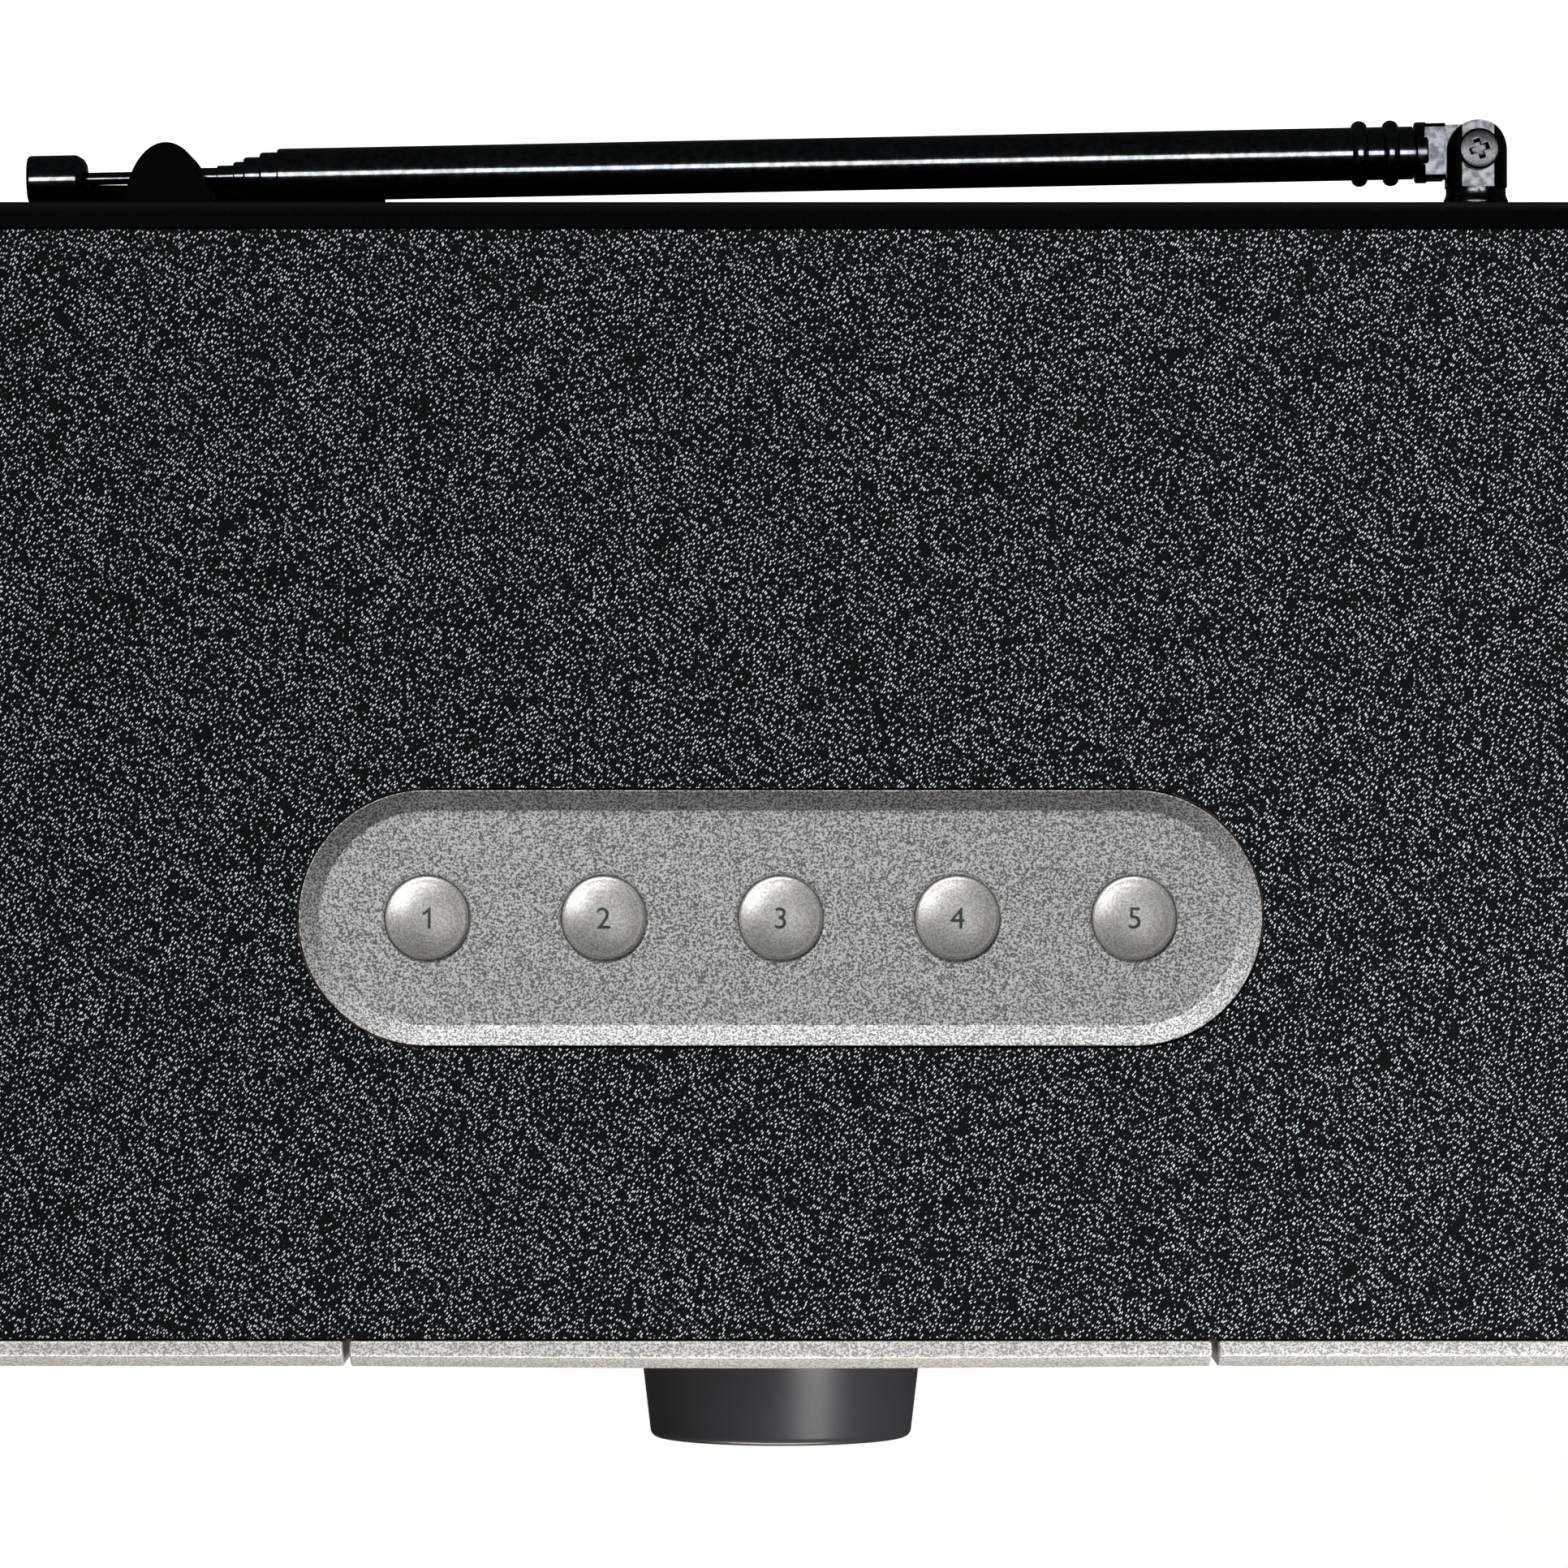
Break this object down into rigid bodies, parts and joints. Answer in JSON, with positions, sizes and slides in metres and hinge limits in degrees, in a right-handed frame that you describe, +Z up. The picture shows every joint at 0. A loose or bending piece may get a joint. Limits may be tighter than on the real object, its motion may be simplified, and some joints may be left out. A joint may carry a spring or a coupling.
{
  "type": "tabletop radio",
  "caption": "Leatherette-wrapped tabletop radio with silver front, volume knob, preset buttons in a dished top tray and a folding telescopic antenna at the back.",
  "frame": {"origin": "On the table under the middle of the whole outline, knob and antenna included.", "axes": "+X to the right as seen from the front, +Y to the rear, +Z up. The front fascia faces -Y."},
  "size_m": [0.334, 0.1989, 0.128],
  "materials": {
    "leatherette": "black leatherette with a fine slanted grain and a soft sheen",
    "wood_board": "raw fibreboard, hidden under the wrap and behind the fascia",
    "silver_face": "fine sandblasted satin silver",
    "silver_button": "domed satin silver cap",
    "grille_mesh": "perforated sheet, satin",
    "display_window": "dark clear acrylic",
    "black_plastic": "moulded black with a fine spark texture",
    "charcoal_plastic": "charcoal satin",
    "black_chrome": "black chrome, polished",
    "plated_steel": "zinc plated",
    "brass": "turned",
    "circuit_board": "green solder mask",
    "cone_paper": "pressed black paper",
    "rubber": "moulded, matt"
  },
  "bodies": {
    "root": {"cabinet_sleeve": "wood_board", "leatherette_wrap": "leatherette", "front_baffle": "wood_board", "left_grille_frame": "silver_face", "right_grille_frame": "silver_face", "control_panel": "silver_face", "left_grille": "grille_mesh", "right_grille": "grille_mesh", "display_window": "display_window", "display_module": "black_plastic", "main_board": "circuit_board", "encoder_body": "plated_steel", "rear_cover": "black_plastic", "antenna_clip": "black_plastic", "antenna_bush": "black_plastic", "preset_tray": "silver_face", "preset_board": "circuit_board", "socket_board": "circuit_board", "speaker_frame_left": "plated_steel", "speaker_frame_right": "plated_steel", "speaker_magnet_left": "plated_steel", "speaker_magnet_right": "plated_steel", "speaker_surround_left": "rubber", "speaker_surround_right": "rubber", "dc_socket": "black_plastic", "aux_socket": "black_plastic", "headphone_socket": "black_plastic", "foot_front_left": "rubber", "foot_front_right": "rubber", "foot_rear_left": "rubber", "foot_rear_right": "rubber", "rear_screw_1": "plated_steel", "rear_screw_2": "plated_steel", "rear_screw_3": "plated_steel", "rear_screw_4": "plated_steel"},
    "encoder_plunger": {"encoder_plunger": "brass"},
    "volume_knob": {"volume_knob": "charcoal_plastic", "knob_shaft": "plated_steel"},
    "preset_button_1": {"preset_button_1": "silver_button"},
    "preset_button_2": {"preset_button_2": "silver_button"},
    "preset_button_3": {"preset_button_3": "silver_button"},
    "preset_button_4": {"preset_button_4": "silver_button"},
    "preset_button_5": {"preset_button_5": "silver_button"},
    "front_button_left_upper": {"front_button_left_upper": "silver_button"},
    "front_button_left_lower": {"front_button_left_lower": "silver_button"},
    "front_button_right_upper": {"front_button_right_upper": "silver_button"},
    "front_button_right_lower": {"front_button_right_lower": "silver_button"},
    "speaker_cone_left": {"speaker_cone_left": "cone_paper"},
    "speaker_cone_right": {"speaker_cone_right": "cone_paper"},
    "antenna_swivel": {"antenna_swivel": "black_chrome", "antenna_screw": "black_chrome"},
    "antenna_base": {"antenna_ferrule": "black_chrome", "antenna_tube_1": "black_chrome"},
    "antenna_section_2": {"antenna_tube_2": "black_chrome"},
    "antenna_section_3": {"antenna_tube_3": "black_chrome"},
    "antenna_section_4": {"antenna_tube_4": "black_chrome"},
    "antenna_section_5": {"antenna_tube_5": "black_chrome"},
    "antenna_section_6": {"antenna_tube_6": "black_chrome"},
    "antenna_section_7": {"antenna_rod": "black_chrome", "antenna_tip": "black_chrome"}
  },
  "joints": [
    {"name": "knob_press", "type": "slide", "parent": "root", "child": "encoder_plunger", "axis": [0, 1, 0], "range_m": [0, 0.0006], "stiffness_N_per_m": 900, "springref_m": -0.001},
    {"name": "knob_turn", "type": "hinge", "parent": "encoder_plunger", "child": "volume_knob", "pos_m": [0, -0.08185, 0.038], "axis": [0, 1, 0], "continuous": true},
    {"name": "preset_1_press", "type": "slide", "parent": "root", "child": "preset_button_1", "axis": [0, 0, -1], "range_m": [0, 0.0008], "stiffness_N_per_m": 600, "springref_m": -0.001},
    {"name": "preset_2_press", "type": "slide", "parent": "root", "child": "preset_button_2", "axis": [0, 0, -1], "range_m": [0, 0.0008], "stiffness_N_per_m": 600, "springref_m": -0.001},
    {"name": "preset_3_press", "type": "slide", "parent": "root", "child": "preset_button_3", "axis": [0, 0, -1], "range_m": [0, 0.0008], "stiffness_N_per_m": 600, "springref_m": -0.001},
    {"name": "preset_4_press", "type": "slide", "parent": "root", "child": "preset_button_4", "axis": [0, 0, -1], "range_m": [0, 0.0008], "stiffness_N_per_m": 600, "springref_m": -0.001},
    {"name": "preset_5_press", "type": "slide", "parent": "root", "child": "preset_button_5", "axis": [0, 0, -1], "range_m": [0, 0.0008], "stiffness_N_per_m": 600, "springref_m": -0.001},
    {"name": "left_upper_press", "type": "slide", "parent": "root", "child": "front_button_left_upper", "axis": [0, 1, 0], "range_m": [0, 0.0008], "stiffness_N_per_m": 600, "springref_m": -0.001},
    {"name": "left_lower_press", "type": "slide", "parent": "root", "child": "front_button_left_lower", "axis": [0, 1, 0], "range_m": [0, 0.0008], "stiffness_N_per_m": 600, "springref_m": -0.001},
    {"name": "right_upper_press", "type": "slide", "parent": "root", "child": "front_button_right_upper", "axis": [0, 1, 0], "range_m": [0, 0.0008], "stiffness_N_per_m": 600, "springref_m": -0.001},
    {"name": "right_lower_press", "type": "slide", "parent": "root", "child": "front_button_right_lower", "axis": [0, 1, 0], "range_m": [0, 0.0008], "stiffness_N_per_m": 600, "springref_m": -0.001},
    {"name": "left_cone_stroke", "type": "slide", "parent": "root", "child": "speaker_cone_left", "axis": [0, -1, 0], "range_m": [-0.0015, 0.0015], "stiffness_N_per_m": 1500},
    {"name": "right_cone_stroke", "type": "slide", "parent": "root", "child": "speaker_cone_right", "axis": [0, -1, 0], "range_m": [-0.0015, 0.0015], "stiffness_N_per_m": 1500},
    {"name": "antenna_swivel_turn", "type": "hinge", "parent": "root", "child": "antenna_swivel", "pos_m": [0.1023, 0.09495, 0.098], "axis": [0, 1, 0], "range_deg": [0, 180], "deforming": ["antenna_clip"]},
    {"name": "antenna_elbow", "type": "hinge", "parent": "antenna_swivel", "child": "antenna_base", "pos_m": [0.1023, 0.09495, 0.098], "axis": [0, 0, -1], "range_deg": [0, 90]},
    {"name": "section_2_slide", "type": "slide", "parent": "antenna_base", "child": "antenna_section_2", "axis": [-0.9998, -0.0197, 0], "range_m": [0, 0.148]},
    {"name": "section_3_slide", "type": "slide", "parent": "antenna_section_2", "child": "antenna_section_3", "axis": [-0.9998, -0.0197, 0], "range_m": [0, 0.148]},
    {"name": "section_4_slide", "type": "slide", "parent": "antenna_section_3", "child": "antenna_section_4", "axis": [-0.9998, -0.0197, 0], "range_m": [0, 0.148]},
    {"name": "section_5_slide", "type": "slide", "parent": "antenna_section_4", "child": "antenna_section_5", "axis": [-0.9998, -0.0197, 0], "range_m": [0, 0.148]},
    {"name": "section_6_slide", "type": "slide", "parent": "antenna_section_5", "child": "antenna_section_6", "axis": [-0.9998, -0.0197, 0], "range_m": [0, 0.148]},
    {"name": "section_7_slide", "type": "slide", "parent": "antenna_section_6", "child": "antenna_section_7", "axis": [-0.9998, -0.0197, 0], "range_m": [0, 0.148]}
  ]
}
